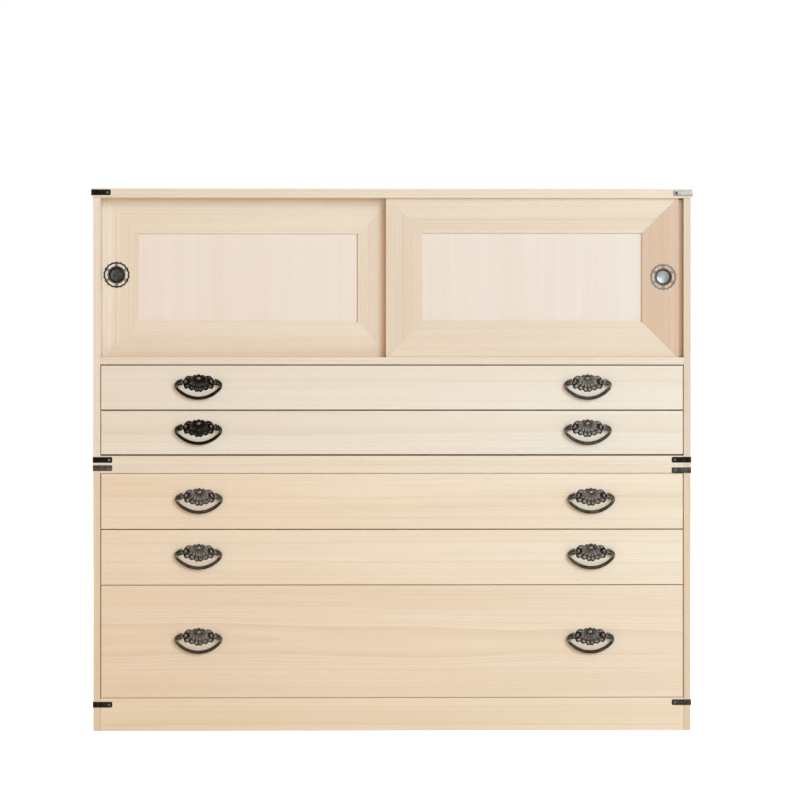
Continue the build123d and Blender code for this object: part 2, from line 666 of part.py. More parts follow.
# ---------------------------------------------------------------- build
def main():
    os.makedirs("parts", exist_ok=True)
    lower_case()
    upper_case()
    for side in ("left", "right"):
        door(side)
    for name, height, x_left, x_right in DRAWERS:
        drawer(name, height, x_left, x_right)

    save("upper_corner_straps", *at_corners("top", strap()), *at_corners("upper_foot", strap()))
    save("lower_corner_straps", *at_corners("lower_head", strap()), *at_corners("plinth", strap()))
    print("overall height", OVERALL_H)


main()
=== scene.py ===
# %% [markdown]
# # A paulownia clothing chest
#
# This lesson dresses a clothing chest, an isho-dansu, for a picture. The chest is made of pale, unpainted
# paulownia and carries small fittings of blackened iron. Every board and every fitting already exists as a
# plain solid. Each gets here what a plain solid lacks: softened edges, grain that runs through the wood,
# and relief on the iron.

# %% Tools
import json
import math
import random

import bmesh
import bpy
from mathutils import Matrix, Vector
from mathutils.geometry import interpolate_bezier

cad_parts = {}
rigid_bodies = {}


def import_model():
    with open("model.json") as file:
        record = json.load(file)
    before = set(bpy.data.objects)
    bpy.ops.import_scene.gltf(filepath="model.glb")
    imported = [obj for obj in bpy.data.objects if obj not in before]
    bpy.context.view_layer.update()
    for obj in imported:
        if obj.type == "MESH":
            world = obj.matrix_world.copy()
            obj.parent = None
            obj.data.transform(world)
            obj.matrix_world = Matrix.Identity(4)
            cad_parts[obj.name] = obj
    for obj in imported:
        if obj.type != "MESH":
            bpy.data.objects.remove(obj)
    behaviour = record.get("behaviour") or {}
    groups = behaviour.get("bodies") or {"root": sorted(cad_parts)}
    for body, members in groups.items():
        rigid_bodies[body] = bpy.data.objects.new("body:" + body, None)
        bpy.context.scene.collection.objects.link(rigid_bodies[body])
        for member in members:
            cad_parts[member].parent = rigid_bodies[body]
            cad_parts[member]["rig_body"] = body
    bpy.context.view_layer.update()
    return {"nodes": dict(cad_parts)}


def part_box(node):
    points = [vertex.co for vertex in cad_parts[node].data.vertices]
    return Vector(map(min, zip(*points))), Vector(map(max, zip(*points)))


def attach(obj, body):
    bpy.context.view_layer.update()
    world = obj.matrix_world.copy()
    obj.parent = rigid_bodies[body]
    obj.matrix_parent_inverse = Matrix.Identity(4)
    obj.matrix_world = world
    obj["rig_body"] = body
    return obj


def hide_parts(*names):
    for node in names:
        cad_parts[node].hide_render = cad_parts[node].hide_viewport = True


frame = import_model()
MM = 0.001
SIDES = ("left", "right")
DRAWERS = range(1, 6)  # numbered from the top
UPPER_DRAWERS = 2  # how many of them are in the upper case

# %% [markdown]
# ## Colour values and nodes
#
# A colour picked on a screen is written as a hex value in sRGB, but a shader works with linear light. One
# function turns the one into the other. A second function adds a node, sets it up and feeds its inputs, so
# that a material reads as a list of steps.


# %% A hex colour as linear light
def linear(hex_colour):
    channels = [int(hex_colour[i:i + 2], 16) / 255 for i in (1, 3, 5)]
    return [c / 12.92 if c <= 0.04045 else ((c + 0.055) / 1.055) ** 2.4 for c in channels] + [1.0]


# %% A node with its settings and links
def add(tree, kind, inputs=None, output=0, **settings):
    """Returns the named or numbered output of the new node."""
    made = tree.nodes.new("ShaderNode" + kind)
    for name, value in settings.items():
        setattr(made, name, value)
    for key, value in (inputs or {}).items():
        if isinstance(value, bpy.types.NodeSocket):
            tree.links.new(value, made.inputs[key])
        else:
            made.inputs[key].default_value = value
    return made.outputs[output] if made.outputs else made


def new_tree(name):
    """An empty material and its nodes."""
    material = bpy.data.materials.new(name)
    material.use_nodes = True
    material.node_tree.nodes.clear()
    return material, material.node_tree


# %% [markdown]
# ## Moves that come back
#
# Some moves of the maker come back on many pieces: taking the sharpness off edges, sawing along a plane, and
# drawing a face out or sinking it. Each is one short function, so that a piece reads as a list of moves.


# %% Softening, sawing and drawing out
def arrises(shell, degrees):
    """The edges at which two faces meet at more than a number of degrees."""
    return [e for e in shell.edges if len(e.link_faces) == 2 and e.calc_face_angle() > math.radians(degrees)]


def soften(shell, edges, offset, segments=2):
    bmesh.ops.bevel(
        shell, geom=edges, offset=offset, offset_type="OFFSET", segments=segments, profile=0.5,
        affect="EDGES", clamp_overlap=True, material=-1,
    )


def saw(shell, place, normal, drop_rest=False):
    """Splits a shell along a plane. drop_rest takes away what lies behind the plane."""
    everything = list(shell.verts) + list(shell.edges) + list(shell.faces)
    bmesh.ops.bisect_plane(shell, geom=everything, plane_co=place, plane_no=normal, clear_inner=drop_rest)


def draw_out(shell, faces, way):
    """Moves faces along way and makes the walls between their old and their new place."""
    drawn = bmesh.ops.extrude_face_region(shell, geom=faces)
    moved = [v for v in drawn["geom"] if isinstance(v, bmesh.types.BMVert)]
    bmesh.ops.translate(shell, vec=way, verts=moved)
    bmesh.ops.delete(shell, geom=faces, context="FACES")


def clamped(value):
    return min(1, max(0, value))


# %% [markdown]
# ## Paulownia
#
# Paulownia, or kiri, is a very light, pale wood. The boards are sawn so that the yearly rings meet the face
# nearly square, which shows as fine straight lines, and planed without a finish, so they stay matt.
#
# A picture of wood could be laid on each face, but it wouldn't agree at the edges. So the pattern is worked
# out in three dimensions: rings are shells round the middle of the log, and each board carries, in an
# attribute named grain, where it lay in its log: the place along the trunk, and two distances from the
# pith. Wherever the plane cuts the log, the right figure shows, long lines on a face and arcs on an end.

# %% The figures in the wood
RING = 4.2 * MM  # width of a year's growth
FIBRE = 1.6 * MM  # streaks of fibre, drawn coarser than the real 0.1 mm so that they show
PORE = 0.45 * MM  # open vessels, about 9 mm long

# How often a figure comes in a metre: along the trunk, and in the two directions across it
BENDS = (1.6, 9.0, 9.0)  # the trunk's slow bends, which the rings follow
CLOUDS = (1.1, 28.0, 28.0)  # broad bands of paler and darker wood
FIBRES = (5.0, 1 / FIBRE, 1 / FIBRE)
PORES = (110.0, 1 / PORE, 1 / PORE)
WEATHER = 55.0  # runs of good and bad years, across the rings
PLANED_RELIEF = 0.12 * MM
STRIP_SHIFT = (7.0, 0.12, 0.03)  # how far apart two glued strips may have lain in the log, in metres


# %% A board glued up from strips
def glued_up(tree, grain, strip):
    """Gives each strip its own place in the log. Returns the new grain, and a random shade per strip."""
    across = add(tree, "SeparateXYZ", {0: grain}, output="Y")
    count = add(tree, "Math", {0: across, 1: strip}, operation="DIVIDE")
    number = add(tree, "Math", {0: count}, operation="FLOOR")
    lot = add(tree, "TexWhiteNoise", {"W": number}, output="Color", noise_dimensions="1D")
    shade = add(tree, "TexWhiteNoise", {"W": number}, noise_dimensions="1D")
    return add(tree, "VectorMath", {0: lot, 1: STRIP_SHIFT, 2: grain}, operation="MULTIPLY_ADD"), shade


# %% Year rings
def grown(tree, grain, wander):
    """Bends the grain by up to wander. Returns it with the rings: 0 in early wood, up to 1 in late wood."""
    slow = add(tree, "VectorMath", {0: grain, 1: BENDS}, operation="MULTIPLY")
    bend = add(tree, "TexNoise", {"Vector": slow, "Scale": 1.0, "Detail": 2.0}, output="Color")
    bend = add(tree, "VectorMath", {0: bend, 1: (0.5, 0.5, 0.5)}, operation="SUBTRACT")
    swing = (0, 2 * wander, 2 * wander)
    grain = add(tree, "VectorMath", {0: bend, 1: swing, 2: grain}, operation="MULTIPLY_ADD")

    flat = add(tree, "VectorMath", {0: grain, 1: (0, 1, 1)}, operation="MULTIPLY")
    radius = add(tree, "VectorMath", {0: flat}, operation="LENGTH", output="Value")
    weather = add(tree, "TexNoise", {"W": radius, "Scale": WEATHER, "Detail": 1.0}, noise_dimensions="1D")
    years = add(tree, "Math", {0: radius, 1: 1 / RING, 2: weather}, operation="MULTIPLY_ADD")
    years = add(tree, "Math", {0: weather, 1: 2.5, 2: years}, operation="MULTIPLY_ADD")
    # A ring darkens slowly through its year and ends sharply, and some years show more than others.
    year = add(tree, "Math", {0: years}, operation="FLOOR")
    season = add(tree, "Math", {0: years}, operation="FRACT")
    summer = {"Value": season, "From Min": 0.25, "From Max": 0.9}
    autumn = {"Value": season, "From Min": 0.9, "From Max": 1.0, "To Min": 1.0, "To Max": 0.0}
    late = add(tree, "MapRange", summer, interpolation_type="SMOOTHSTEP")
    late = add(tree, "Math", {0: late, 1: add(tree, "MapRange", autumn)}, operation="MULTIPLY")
    vigour = add(tree, "TexWhiteNoise", {"W": year}, noise_dimensions="1D")
    vigour = add(tree, "MapRange", {"Value": vigour, "To Min": 0.15, "To Max": 1.0})
    return grain, add(tree, "Math", {0: late, 1: vigour}, operation="MULTIPLY")


# %% Paulownia wood
def paulownia(name, light, dark, strip=0, uneven=0.45, wander=5 * MM, rings_show=1.0, dullness=0.6):
    """Planed bare paulownia. A wide board is glued up from strips, each as wide as strip, of uneven tone."""
    material, tree = new_tree(name)
    grain = add(tree, "Attribute", attribute_name="grain", output="Vector")
    if strip:
        grain, shade = glued_up(tree, grain, strip)
    grain, rings = grown(tree, grain, wander)

    fine = add(tree, "VectorMath", {0: grain, 1: FIBRES}, operation="MULTIPLY")
    fibre = add(tree, "TexNoise", {"Vector": fine, "Scale": 1.0, "Detail": 2.0})
    wide = add(tree, "VectorMath", {0: grain, 1: CLOUDS}, operation="MULTIPLY")
    cloud = add(tree, "TexNoise", {"Vector": wide, "Scale": 1.0, "Detail": 3.0})
    vessels = add(tree, "VectorMath", {0: grain, 1: PORES}, operation="MULTIPLY")
    pores = add(tree, "TexNoise", {"Vector": vessels, "Scale": 1.0, "Detail": 0.0})
    pores = add(tree, "MapRange", {"Value": pores, "From Min": 0.66, "From Max": 0.76})  # only its peaks

    # Each figure darkens the wood by its own share, from the light colour at 0 to the dark one at 1.
    depth = -0.1
    shares = [(rings, 0.42 * rings_show), (fibre, 0.35 * rings_show), (cloud, 0.75), (pores, 0.3)]
    if strip:
        depth -= uneven / 2
        shares.append((shade, uneven))
    for figure, share in shares:
        depth = add(tree, "Math", {0: figure, 1: share, 2: depth}, operation="MULTIPLY_ADD")
    colour = add(tree, "Mix", {0: depth, 6: linear(light), 7: linear(dark)}, output=2, data_type="RGBA")
    tone = add(tree, "Attribute", attribute_name="tone", output="Vector")
    colour = add(tree, "VectorMath", {0: colour, 1: tone}, operation="MULTIPLY")

    # Late wood and fibre stand a little proud of the planed face, and pores are open.
    relief = add(tree, "Math", {0: pores, 1: -1.0, 2: rings}, operation="MULTIPLY_ADD")
    relief = add(tree, "Math", {0: fibre, 1: 0.5, 2: relief}, operation="MULTIPLY_ADD")
    normal = add(tree, "Bump", {"Height": relief, "Strength": 0.4, "Distance": PLANED_RELIEF})
    gloss = add(tree, "MapRange", {"Value": fibre, "To Min": dullness - 0.07, "To Max": dullness + 0.07})
    surface = add(
        tree, "BsdfPrincipled", {"Base Color": colour, "Roughness": gloss, "Normal": normal, "IOR": 1.47}
    )
    add(tree, "OutputMaterial", {"Surface": surface})
    return material


# %% The stocks of wood
STOCK = {
    "case": paulownia("Paulownia_case_boards", "#f4e4d0", "#e1caaa", strip=86 * MM),
    "foot": paulownia("Paulownia_lower_sides", "#f2e0c6", "#dec49c", strip=86 * MM),
    "inside": paulownia("Paulownia_inner_boards", "#f2dfc6", "#dcc09c", strip=74 * MM, dullness=0.68),
    "frame": paulownia("Paulownia_door_frames", "#f2e2cc", "#d9c1a1", wander=3 * MM, rings_show=0.8),
    "panel": paulownia(
        "Paulownia_door_panels", "#f3e6d8", "#e8d6c1", strip=47 * MM, uneven=0.1, wander=3 * MM,
        rings_show=0.6,
    ),
    "upper_front": paulownia("Paulownia_upper_fronts", "#f2e6d5", "#e3cfb3", rings_show=0.8),
    "lower_front": paulownia("Paulownia_lower_fronts", "#f3e4cd", "#dfc5a2", wander=9 * MM, rings_show=0.8),
}
print("stocks of wood", len(STOCK))

# %% [markdown]
# ## Boards
#
# The boards' shapes are right as they are, apart from their edges, which are mathematically sharp. A real
# maker takes the sharpness off each edge with one stroke of the plane, and this thin round catches the
# light. A copy of each solid has its doubled points merged and its flat triangles joined, and then a bevel
# of a few tenths of a millimetre runs along every edge that is left.
#
# Some boards get a little more. The plane takes a hair off the edge of a drawer front or leaves one on, which
# sets the width of the gaps between the drawers, and the doors get the tongues of the next step.
#
# Each line below gives the axis that the grain follows, the axis across the board's face, and the stock.

# %% Which board is cut how
CASE_BOARDS = {
    "top_board": "x y case",
    "upper_side_left": "z y case",
    "upper_side_right": "z y case",
    "upper_bottom_board": "x y case",
    "door_sill": "x y case",
    "upper_shelf": "x y inside",
    "upper_back_panel": "x z inside",
    "lower_top_board": "x y case",
    "lower_side_left": "z y foot",
    "lower_side_right": "z y foot",
    "lower_bottom_board": "x y inside",
    "lower_shelf_1": "x y inside",
    "lower_shelf_2": "x y inside",
    "lower_back_panel": "x z inside",
    "plinth": "x z foot",
}
DOOR_BOARDS = {"stiles": "z x frame", "rails": "x z frame", "panel": "z x panel"}
DRAWER_BOARDS = {"sides": "y z inside", "back": "x z inside", "bottom": "x y inside"}

boards = dict(CASE_BOARDS)
for side in SIDES:
    for part, cut in DOOR_BOARDS.items():
        boards[f"door_{side}_{part}"] = cut
for number in DRAWERS:
    stock = "upper_front" if number <= UPPER_DRAWERS else "lower_front"
    boards[f"drawer_{number}_front"] = f"x z {stock}"
    for part, cut in DRAWER_BOARDS.items():
        boards[f"drawer_{number}_{part}"] = cut
print("boards", len(boards))


# %% [markdown]
# ## A tongue on each door
#
# The outer edge of a sliding door carries a tongue, and the side panel has a groove that the tongue closes
# into, so that no dust gets past it. Beside a door that isn't quite shut, the tongue shows as a shaded strip.

# %% The tongue and its groove
TONGUE_OUT = 8.6
TONGUE_T = 4.5
TONGUE_BACK = 6.5  # behind the face of the door
TONGUE_ENDS = 1.5  # short of the sill and of the top board
TONGUE_ROOT = 1.0  # set into the stile
GROOVE_DEEP = 8.5
GROOVE_SPARE = 0.4  # room round the tongue
OUTWARD = {"left": -1, "right": 1}


def tongue_room(side, start, reach, spare):
    """Two corners of a tongue, or of its groove: it reaches outwards from start, with room to spare."""
    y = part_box(f"door_{side}_stiles")[0].y + TONGUE_BACK * MM
    bottom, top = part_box("door_sill")[1].z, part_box("top_board")[0].z
    xs = sorted((start, start + OUTWARD[side] * reach * MM))
    short = (TONGUE_ENDS - spare) * MM
    low = Vector((xs[0], y - spare * MM, bottom + short))
    return low, Vector((xs[1], y + (TONGUE_T + spare) * MM, top - short))


# %% The tongue
def add_tongue(shell, side):
    low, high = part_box(f"door_{side}_stiles")
    edge = low.x if side == "left" else high.x
    root = edge - OUTWARD[side] * TONGUE_ROOT * MM
    low, high = tongue_room(side, root, TONGUE_OUT + TONGUE_ROOT, 0)
    bmesh.ops.create_cube(shell, size=1.0, matrix=Matrix.LocRotScale((low + high) / 2, None, high - low))


# %% The groove
def cut_groove(shell, side):
    """Splits the inner face of a side panel along the groove's outline and sinks the part inside it."""
    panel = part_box(f"upper_side_{side}")
    inner = panel[1].x if side == "left" else panel[0].x
    low, high = tongue_room(side, inner, GROOVE_DEEP, GROOVE_SPARE)
    for axis, cut in ((1, low.y), (1, high.y), (2, low.z), (2, high.z)):
        normal = Vector((0, axis == 1, axis == 2))
        saw(shell, normal * cut, normal)
    bed = []
    for face in shell.faces:
        middle = face.calc_center_median()
        faces_in = face.normal.x * OUTWARD[side] < -0.9 and abs(middle.x - inner) < 0.1 * MM
        if faces_in and low.y < middle.y < high.y and low.z < middle.z < high.z:
            bed.append(face)
    print(side, "groove from", [round(c / MM, 1) for c in low], "to", [round(c / MM, 1) for c in high])
    draw_out(shell, bed, (OUTWARD[side] * GROOVE_DEEP * MM, 0, 0))


# %% A board with its edges planed
TRIMMED = {  # millimetres planed off a front's top and bottom edge, or left on, if less than none
    "drawer_1_front": (-0.4, 0.0), "drawer_2_front": (0.0, 2.0), "drawer_3_front": (-1.4, -0.6),
    "drawer_4_front": (0.0, -0.5), "drawer_5_front": (-0.6, -1.5),
}
ON_EDGE = 0.05 * MM  # a point this close to an edge lies on it
DOUBLES = 0.002 * MM
FLAT = math.radians(0.5)  # faces that meet at less are one face


def planed(node, round_over):
    """A copy of a board's plain solid with its edges trimmed and rounded over."""
    copy = bmesh.new()
    copy.from_mesh(frame["nodes"][node].data)
    low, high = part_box(node)
    top, bottom = TRIMMED.get(node, (0, 0))
    for vert in copy.verts:
        if high.z - vert.co.z < ON_EDGE:
            vert.co.z -= top * MM
        elif vert.co.z - low.z < ON_EDGE:
            vert.co.z += bottom * MM
    bmesh.ops.remove_doubles(copy, verts=copy.verts, dist=DOUBLES)
    bmesh.ops.dissolve_limit(copy, angle_limit=FLAT, verts=copy.verts, edges=copy.edges)
    if node.startswith("upper_side"):
        cut_groove(copy, node.split("_")[2])
        bmesh.ops.dissolve_limit(copy, angle_limit=FLAT, verts=copy.verts, edges=copy.edges)
    if node.endswith("stiles"):
        add_tongue(copy, node.split("_")[1])
    soften(copy, arrises(copy, 20), round_over)
    return copy


# %% [markdown]
# ## Where each board lay in its log
#
# A straight-grained board comes from well outside the pith, in the direction of its own width. Now and then
# a board lies over the pith and shows the flames of flat-sawn wood. The distances are drawn at random, from
# a fixed seed, once for each solid, because the two stiles of a door are two boards.
#
# Boards of one stock also differ in tone, so each carries its own, in an attribute named tone. On a few
# boards
# this tone also holds painted shade: the fronts of the lower drawers are painted redder towards their left
# ends, where the light falls dimmer and warmer, and the sill and the right door's right stile are painted
# darker.

# %% How light and how red a board is against the rest of its stock
TONES_AND_SHADE = {  # two stiles may differ, the left one first
    "drawer_1_front": (0.985, 0.0), "drawer_2_front": (0.995, -0.02), "drawer_3_front": (1.035, -0.03),
    "drawer_4_front": (1.035, -0.03), "drawer_5_front": (1.01, 0.02), "plinth": (1.01, 0.0),
    "lower_side_left": (0.97, 0.03), "lower_side_right": (0.91, 0.09), "upper_side_left": (0.97, 0.0),
    # The sill is painted a little darker and redder, as painted shade along its edge.
    "upper_side_right": (0.88, 0.05), "top_board": (0.975, 0.0), "door_sill": (0.95, 0.05),
    "door_left_rails": (1.02, 0.01), "door_left_stiles": [(1.045, -0.01), (0.975, 0.06)],
    # The right door's right stile is painted darker and redder, as painted shade with warm light sent back
    # from the gap beside it.
    "door_right_rails": (0.975, 0.04), "door_right_stiles": [(0.95, 0.04), (0.84, 0.25)],
    "door_left_panel": (0.98, 0.03), "door_right_panel": (0.945, 0.03),
}
# Painted shade: the lower fronts are painted redder towards the left end, where the light falls dimmer and
# warmer.
LEFT_END_PAINTED_SHADE = {"drawer_3_front": 0.11, "drawer_4_front": 0.08, "drawer_5_front": 0.08}  # redder at the left end
RED_FROM_GREEN = 0.6  # a redder wood loses blue, and this share of it in green

# %% Cutting the boards from the logs
sawyer = random.Random(17)
FLAT_SAWN = {"drawer_2_front", "drawer_5_front", "door_left_rails", "upper_side_left"}
PAIR_AXIS = {"stiles": 0, "rails": 2, "sides": 0}  # along which the two boards of such a node lie apart


def log_place(node):
    """Along the trunk and across it twice, in metres: where a board lay in its log."""
    far = sawyer.uniform(0.16, 0.34) * sawyer.choice((-1, 1))
    deep = sawyer.uniform(-0.05, 0.05)
    if node in FLAT_SAWN:
        far, deep = sawyer.uniform(-0.02, 0.02), sawyer.uniform(0.05, 0.09)
    return sawyer.uniform(0, 30), far, deep


def cut_from_log(mesh, node, grain, across):
    """Writes the attributes grain and tone on a board's points."""
    axes = ["xyz".index(grain), "xyz".index(across)]
    axes.append(3 - sum(axes))
    low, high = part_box(node)
    middle = (low + high) / 2
    pair_axis = PAIR_AXIS.get(node.split("_")[-1])
    logs = [log_place(node) for _ in range(2)]
    tones = TONES_AND_SHADE.get(node, (1.0, 0.0))
    tones = tones if isinstance(tones, list) else [tones, tones]
    for name in ("grain", "tone"):
        mesh.attributes.new(name, "FLOAT_VECTOR", "POINT")
    place, tone = mesh.attributes["grain"].data, mesh.attributes["tone"].data
    for vert in mesh.vertices:
        second = pair_axis is not None and vert.co[pair_axis] > middle[pair_axis]
        home = [vert.co[axis] - middle[axis] for axis in axes]
        place[vert.index].vector = [h + lay for h, lay in zip(home, logs[second])]
        light, red = tones[second]
        red += LEFT_END_PAINTED_SHADE.get(node, 0.0) * (high.x - vert.co.x) / (high.x - low.x)
        tone[vert.index].vector = (light, light * (1 - RED_FROM_GREEN * red), light * (1 - red))


# %% [markdown]
# A finished piece goes on one body of the chest, takes the place of the plain solid, and is named after its
# finish.


# %% Putting a piece on its body
def fitted(shell, name, body, material, replaces, smooth):
    """Makes a piece of a shell. A smooth one stays sharp where its faces meet at over 40 degrees."""
    mesh = bpy.data.meshes.new(name)
    for face in shell.faces:
        face.smooth = smooth
    shell.to_mesh(mesh)
    shell.free()
    if smooth:
        mesh.set_sharp_from_angle(angle=math.radians(40))
    mesh.materials.append(material)
    piece = bpy.data.objects.new(name, mesh)
    bpy.context.scene.collection.objects.link(piece)
    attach(piece, body)
    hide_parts(replaces)
    return piece


# %% The boards in place
ROUND_OVER = {"frame": 0.2, "panel": 0.2, "upper_front": 0.8, "lower_front": 0.8}
CASE_ROUND_OVER = 0.5

for node, cut in boards.items():
    grain, across, stock = cut.split()
    body = frame["nodes"][node]["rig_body"]
    round_over = ROUND_OVER.get(stock, CASE_ROUND_OVER) * MM
    board = fitted(planed(node, round_over), f"{node}_planed", body, STOCK[stock], node, False)
    cut_from_log(board.data, node, grain, across)
print("boards planed", len(boards))

# %% [markdown]
# ## Blackened iron
#
# The fittings are iron, cast or forged, blackened with a baked lacquer. High places are rubbed through by
# hands and show warm grey metal, and hollows keep a dull black. Each iron piece carries an attribute which
# is 0 in a hollow and 1 on a crest, and the colour and gloss follow it. The attribute also carries painted
# light: fittings on the right are painted lighter, as a painted reflection of the bright window, those of the
# upper left darker, and small dips beside the eyes are painted black as painted shade.


# %% Iron
PATCH = 6 * MM  # across a patch that hands have rubbed
PIT = 0.7 * MM  # across a pit in the skin of the iron
PIT_DEEP = 0.12 * MM


def iron(name, hollow, crest, gloss):
    """Blackened iron. gloss is the roughness of the crests, and the hollows are duller."""
    material, tree = new_tree(name)
    wear_and_sheen = add(tree, "Attribute", attribute_name="wear_and_sheen", output="Fac")
    place = add(tree, "TexCoord", output="Object")
    patches = add(tree, "TexNoise", {"Vector": place, "Scale": 1 / PATCH, "Detail": 3.0})
    pits = add(tree, "TexNoise", {"Vector": place, "Scale": 1 / PIT, "Detail": 2.0})
    rub_and_sheen = add(tree, "Math", {0: patches, 1: 0.5, 2: wear_and_sheen}, operation="MULTIPLY_ADD")
    edge = {"Value": rub_and_sheen, "From Min": 0.25, "From Max": 1.25}
    rub_and_sheen = add(tree, "MapRange", edge, interpolation_type="SMOOTHSTEP")
    colour = add(tree, "Mix", {0: rub_and_sheen, 6: linear(hollow), 7: linear(crest)}, output=2, data_type="RGBA")
    dull = add(tree, "MapRange", {"Value": rub_and_sheen, "To Min": gloss + 0.2, "To Max": gloss})
    dull = add(tree, "Math", {0: pits, 1: 0.12, 2: dull}, operation="MULTIPLY_ADD")
    normal = add(tree, "Bump", {"Height": pits, "Strength": 0.35, "Distance": PIT_DEEP})
    surface = add(
        tree, "BsdfPrincipled", {"Base Color": colour, "Metallic": 1.0, "Roughness": dull, "Normal": normal}
    )
    add(tree, "OutputMaterial", {"Surface": surface})
    return material


blackened = iron("Iron_blackened_handles", "#15110c", "#786c5f", 0.3)
rolled = iron("Iron_blackened_straps", "#161412", "#857a6c", 0.26)
lacquered = iron("Iron_blackened_pulls", "#1c1712", "#78736a", 0.24)


def mark_wear_and_sheen(shell, wear):
    """Stores how light each point is painted: 0 in a hollow and 1 on a crest, more on a fitting much used and
    on one painted with a reflection, and less than 0 where it is painted black as shade.
    """
    layer = shell.verts.layers.float.new("wear_and_sheen")
    for vert in shell.verts:
        vert[layer] = wear(vert.co)


# %% [markdown]
# ## Wrapping a lattice
#
# The plates and bails have free shapes that no single operator gives. A flat lattice is made first, and
# each of its points is moved to its place by a rule. Where the first and last columns meet, merging the
# doubles closes the seam. Sizes are in millimetres here: u and v run from 0 to 1 over the lattice.


# %% A lattice, wrapped
SEAM = 0.001  # points closer than this are one


def wrapped(columns, rows, place):
    """A lattice whose points go where the rule place says. Open rims are closed with a face."""
    shell = bmesh.new()
    bmesh.ops.create_grid(shell, x_segments=columns, y_segments=rows, size=0.5)
    for vert in shell.verts:
        vert.co = place(vert.co.x + 0.5, vert.co.y + 0.5)
    bmesh.ops.remove_doubles(shell, verts=shell.verts, dist=SEAM)
    rims = [edge for edge in shell.edges if edge.is_boundary]
    if rims:
        bmesh.ops.holes_fill(shell, edges=rims)
    bmesh.ops.recalc_face_normals(shell, faces=shell.faces)
    return shell


def joined(shells):
    """Several closed shells in one."""
    whole = bmesh.new()
    for shell in shells:
        part = bpy.data.meshes.new("part")
        shell.to_mesh(part)
        shell.free()
        whole.from_mesh(part)
        bpy.data.meshes.remove(part)
    return whole


def stood_up(x, y, z):
    """Takes a drawing, in millimetres with x across, y up and z to the front, to its place on the chest."""
    turn = Matrix.Rotation(math.radians(90), 4, "X")
    return Matrix.Translation((x, y, z)) @ turn @ Matrix.Scale(MM, 4)


# %% [markdown]
# ## The handle plates
#
# A handle plate is a spray of petals round a boss, cast with soft relief: each petal has a raised rim, a
# hollow inside it, and a sharp valley towards its neighbour. The lattice runs round the outline and in to
# the boss. The rule first finds the place on the outline, lobe by lobe, and then how far in it lies.

# %% The plate's outline
BOSS = Vector((0, 5.0))
BOSS_W = 9.0
BOSS_H = 6.0
CUSPS = [(3.9, 9.9), (11.3, 7.6), (26.6, 1.8), (26.6, -7.4), (18.1, -12.2), (8.3, -14.9)]
CUSPS += [(0, -17.9)] + [(-x, z) for x, z in reversed(CUSPS)]
CRESTS = [(8.0, 11.0), (19.7, 9.2), (28.3, -2.9), (23.9, -13.2), (13.4, -16.4), (4.4, -19.1)]
CRESTS += [(-x, z) for x, z in reversed(CRESTS)] + [(0, 12.3)]
LOBES = len(CUSPS)


def petal_place(u, reach):
    """A point of the plate: u runs round it, and reach from the boss, 0, to the edge, 1."""
    lobe, share = divmod(u * LOBES, 1)
    lobe = int(lobe) % LOBES
    start, end, crest = (Vector(p) for p in (CUSPS[lobe], CUSPS[(lobe + 1) % LOBES], CRESTS[lobe]))
    bulge = 2 * crest - (start + end) / 2
    edge = start.lerp(bulge, share).lerp(bulge.lerp(end, share), share)
    way = (edge - BOSS).normalized()
    hub = BOSS + Vector((way.x * BOSS_W, way.y * BOSS_H)) / 2
    return hub.lerp(edge, reach), 2 * share - 1


# %% The plate's relief
# Beside each eye the plate sinks into a shallow dip, whose middle is painted black as the shade of an opening
# there.
HOLE_X = 17.6  # a hole is punched beside each eye
HOLE_SHADE_R = 1.4
EDGE_T = 0.35  # of the sheet at the very edge of a petal


def bump_at(value, middle, width):
    """A round swell, 1 high, about a middle."""
    return math.exp(-(((value - middle) / width) ** 2))


def from_hole(x, y):
    """How far a point lies from the middle of the nearer hole."""
    return math.hypot(abs(x) - HOLE_X, y)


def petal_height(place, reach, across):
    """The relief of the petals. reach is 1 at the edge, and across goes from -1 to 1 over each petal."""
    inward = min(1 - abs(across), 1.7 * (1 - reach))  # from 0 at a petal's outline to about 1 in its heart
    outer = clamped((reach - 0.42) / 0.25)  # only the outer part is parted into petals
    dome = 0.5 + 1.2 * math.sqrt(max(0, 1 - (1.02 * reach) ** 6)) * (0.6 + 0.4 * reach)
    rim = 0.6 * bump_at(inward, 0.32, 0.17)
    valley = 0.9 * bump_at(1 - abs(across), 0, 0.18)
    hollow = 0.5 * clamped((inward - 0.4) / 0.25)
    arch = 0.55 * bump_at(reach, 0.5 - 0.2 * across * across, 0.075)  # over the root of each petal
    moat = 0.3 * bump_at(reach, 0.06, 0.08)  # round the boss
    punched = 1.6 * bump_at(from_hole(place.x, place.y), 0, 1.5)
    return max(0.2, EDGE_T + dome + outer * (rim - valley - hollow) + arch - moat - punched)


# %% A point of the plate
PLATE_GRID = (LOBES * 20, 30)
BACK_ROWS = 0.04  # the share of the rows that lie on the flat back
PETAL_ROWS = 0.8  # the share that runs in over the petals, and the rest climbs the boss
BOSS_FOOT = 1.3
BOSS_RISE = 2.0


def plate_point(u, v):
    """Rows run from the back edge over the petals to the top of the boss."""
    if v < BACK_ROWS:
        place, _ = petal_place(u, 1)
        return (place.x, place.y, 0)
    if v > BACK_ROWS + PETAL_ROWS:
        climb = (v - BACK_ROWS - PETAL_ROWS) / (1 - BACK_ROWS - PETAL_ROWS) * math.pi / 2
        place, _ = petal_place(u, 0)
        place = BOSS + (place - BOSS) * math.cos(climb)
        return (place.x, place.y, BOSS_FOOT + BOSS_RISE * math.sin(climb))
    reach = 1 - (v - BACK_ROWS) / PETAL_ROWS
    place, across = petal_place(u, reach)
    return (place.x, place.y, petal_height(place, reach, across))


